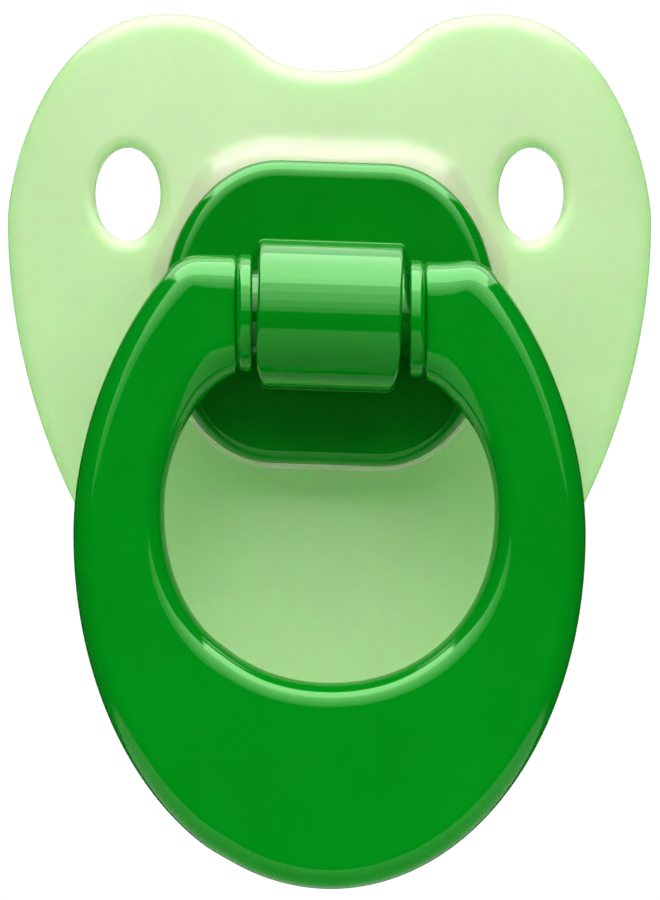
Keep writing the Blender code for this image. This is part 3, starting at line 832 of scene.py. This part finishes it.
def milky_plastic():
    """Translucent light green plastic: light spreads a little way through it."""
    material, tree, shader = new_material("shield_milky_green")
    stops = ((0.3, (0.465, 0.50, 0.34)), (0.7, (0.495, 0.53, 0.365)))
    colour = ramp(tree, noise(tree, 120, 4), stops)
    tree.links.new(colour, shader.inputs["Base Color"])
    tree.links.new(spread(tree, noise(tree, 380, 5), 0.16, 0.24), shader.inputs["Roughness"])
    shader.inputs["IOR"].default_value = 1.5
    shader.inputs["Subsurface Weight"].default_value = 0.75
    shader.inputs["Subsurface Radius"].default_value = (0.45, 7.0, 0.3)
    shader.inputs["Subsurface Scale"].default_value = MM
    layers = (
        (noise(tree, 70, 2), 0.02, 0.2),
        (noise(tree, 2400, 3), 0.002, 0.15),
    )
    bumps(tree, shader, layers)
    return material


def clear_silicone():
    """Clear, faintly warm silicone of the teat."""
    material, tree, shader = new_material("teat_clear_silicone")
    stops = ((0.3, (0.95, 0.94, 0.90)), (0.7, (0.97, 0.965, 0.94)))
    tree.links.new(ramp(tree, noise(tree, 90, 3), stops), shader.inputs["Base Color"])
    tree.links.new(spread(tree, noise(tree, 500, 4), 0.08, 0.16), shader.inputs["Roughness"])
    shader.inputs["IOR"].default_value = 1.41
    shader.inputs["Transmission Weight"].default_value = 0.92
    bumps(tree, shader, ((noise(tree, 90, 2), 0.02, 0.3),))
    return material


def satin_plastic():
    """White plastic of the plug, spark-eroded mould finish."""
    material, tree, shader = new_material("plug_white_satin")
    stops = ((0.3, (0.70, 0.74, 0.67)), (0.7, (0.76, 0.79, 0.72)))
    tree.links.new(ramp(tree, noise(tree, 150, 4), stops), shader.inputs["Base Color"])
    tree.links.new(spread(tree, noise(tree, 700, 5), 0.34, 0.46), shader.inputs["Roughness"])
    shader.inputs["IOR"].default_value = 1.5
    bumps(tree, shader, ((noise(tree, 1800, 4), 0.006, 0.3),))
    return material


def pale_floor():
    material, tree, shader = new_material("studio_floor")
    stops = ((0.3, (0.76, 0.76, 0.75)), (0.7, (0.80, 0.80, 0.79)))
    tree.links.new(ramp(tree, noise(tree, 12, 3), stops), shader.inputs["Base Color"])
    shader.inputs["Roughness"].default_value = 0.7
    return material


# Studio

CAMERA_DISTANCE = 1.8
VIEW_HEIGHT = 63.0 * MM
VIEW_MIDDLE = (0.035 * MM, -9.6 * MM)
SENSOR_WIDTH = 36.0
FLOOR_Z, FLOOR_RADIUS, FLOOR_MIDDLE_Y = -0.075, 0.62, 0.535
WORLD_DIFFUSE, WORLD_SEEN = 0.10, 1.05  # the world's level in diffuse light, and to the camera
# Grey level in reflections by direction, from 0 straight down to 1 straight up.
FLOOR_REFLECTED = ((0.0, 0.25), (0.25, 0.62), (0.295, 0.62), (0.315, 0.01))


def add_camera():
    data = bpy.data.cameras.new("camera")
    data.sensor_width = SENSOR_WIDTH
    data.lens = SENSOR_WIDTH * CAMERA_DISTANCE / VIEW_HEIGHT
    data.clip_start, data.clip_end = 0.1, 20.0
    camera = bpy.data.objects.new("camera", data)
    camera.location = (VIEW_MIDDLE[0], HINGE_Y * MM - CAMERA_DISTANCE, VIEW_MIDDLE[1])
    camera.rotation_euler = (QUARTER, 0.0, 0.0)
    scene.collection.objects.link(camera)
    scene.camera = camera


def add_softbox(name, place, target, size, radiance, diffuse, glossy):
    """A rectangular light that faces its target, as bright as its radiance says."""
    width, height = size
    data = bpy.data.lights.new(name, "AREA")
    data.shape = "RECTANGLE"
    data.size, data.size_y = width, height
    data.energy = radiance * math.pi * width * height
    light = bpy.data.objects.new(name, data)
    light.location = place
    facing = Vector(target) - Vector(place)
    light.rotation_euler = facing.to_track_quat("-Z", "Y").to_euler()
    light.visible_camera = False
    light.visible_diffuse = diffuse
    light.visible_glossy = glossy
    scene.collection.objects.link(light)


def arc_light(name, low, high, distance, half_width, radiance, diffuse=True, glossy=True):
    """A softbox across the front that spans two heights above the horizon, in degrees."""
    middle, half = math.radians((low + high) / 2), math.radians((high - low) / 2)
    direction = Vector((0.0, -math.cos(middle), math.sin(middle)))
    centre = Vector((0.0, HINGE_Y * MM, -0.005))
    height = 2 * distance * math.tan(half)
    size = (2 * half_width, height)
    place = centre + direction * distance
    add_softbox(name, place, centre, size, radiance, diffuse, glossy)


def add_floor(material):
    bm = bmesh.new()
    bmesh.ops.create_circle(bm, cap_ends=True, segments=96, radius=FLOOR_RADIUS)
    mesh = bpy.data.meshes.new("floor")
    bm.to_mesh(mesh)
    bm.free()
    floor = bpy.data.objects.new("floor", mesh)
    floor.location = (0, FLOOR_MIDDLE_Y, FLOOR_Z)
    mesh.materials.append(material)
    floor.visible_glossy = False
    scene.collection.objects.link(floor)


def add_world():
    """Plain white to the camera and through clear parts, and dim to everything else.

    In reflections it is nearly black down to the floor's front edge, and grey below that.
    """
    world = bpy.data.worlds.new("studio")
    world.use_nodes = True
    tree = world.node_tree
    background = tree.nodes["Background"]
    path = tree.nodes.new("ShaderNodeLightPath")
    seen = tree.nodes.new("ShaderNodeMath")
    seen.operation = "MAXIMUM"
    tree.links.new(path.outputs["Is Camera Ray"], seen.inputs[0])
    tree.links.new(path.outputs["Is Transmission Ray"], seen.inputs[1])
    dim = tree.nodes.new("ShaderNodeMapRange")
    where = tree.nodes.new("ShaderNodeTexCoord")
    height = tree.nodes.new("ShaderNodeSeparateXYZ")
    tree.links.new(where.outputs["Generated"], height.inputs[0])
    rise = tree.nodes.new("ShaderNodeMapRange")
    rise.inputs["From Min"].default_value = -1.0
    tree.links.new(height.outputs["Z"], rise.inputs["Value"])
    levels = [(place, (level,) * 3) for place, level in FLOOR_REFLECTED]
    below = ramp(tree, rise.outputs["Result"], levels)
    dim.inputs["To Min"].default_value = WORLD_DIFFUSE
    tree.links.new(below, dim.inputs["To Max"])
    tree.links.new(path.outputs["Is Glossy Ray"], dim.inputs["Value"])
    bright = tree.nodes.new("ShaderNodeMapRange")
    bright.inputs["To Max"].default_value = WORLD_SEEN
    tree.links.new(seen.outputs[0], bright.inputs["Value"])
    tree.links.new(dim.outputs["Result"], bright.inputs["To Min"])
    tree.links.new(bright.outputs["Result"], background.inputs["Strength"])
    background.inputs["Color"].default_value = (1.0, 1.0, 1.0, 1.0)
    scene.world = world


GREEN_ROUGHNESS, GREEN_TINT = (0.06, 0.10), (0.5, 1.0, 0.46)
ring_green = glossy_plastic(
    "ring_deep_green", (0.0, 0.208, 0.0064), (0.0, 0.226, 0.0074), GREEN_ROUGHNESS, GREEN_TINT
)
# The cover's green is a darker copy of the ring's same plastic. The extra darkness is painted
# shade, standing in for the shade that falls on the cover's face.
cover_green_painted_shade = glossy_plastic(
    "cover_green_with_painted_shade", (0.0, 0.184, 0.0048), (0.0, 0.200, 0.0058), GREEN_ROUGHNESS, GREEN_TINT
)

make_shield(milky_plastic())
make_cover(cover_green_painted_shade)
make_stem(cover_green_painted_shade)
make_ring(ring_green)
make_teat(clear_silicone())
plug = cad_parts["plug"]
plug.data.materials.clear()
plug.data.materials.append(satin_plastic())

add_camera()
add_world()
add_floor(pale_floor())
# Name, lowest and highest angle in degrees, distance, half width in metres, and radiance.
arc_light("overhead", 60.0, 110.0, 0.5, 0.48, 3.2, diffuse=False)
arc_light("overhead_wide", 50.0, 142.0, 0.52, 0.55, 2.6, diffuse=False)
arc_light("overhead_soft", 50.0, 142.0, 0.55, 0.55, 1.1, glossy=False)
arc_light("front_high", 36.0, 60.2, 0.75, 0.75, 2.8)
arc_light("front_middle", 22.0, 36.0, 0.8, 0.74, 2.0, diffuse=False)
arc_light("front_lower", 12.0, 22.0, 0.8, 0.73, 1.3, diffuse=False)
arc_light("front_low", 4.5, 12.0, 0.8, 0.72, 0.75, diffuse=False)
arc_light("key", 26.0, 50.0, 0.9, 0.40, 5.4, glossy=False)
arc_light("front_fill", -14.0, 16.0, 1.2, 0.5, 0.85, glossy=False)
arc_light("rear_fill", 120.0, 175.0, 0.7, 0.5, 3.2, glossy=False)

scene.view_settings.view_transform = "Standard"
scene.view_settings.look = "None"
scene.view_settings.exposure = 0.0
scene.view_settings.gamma = 1.0
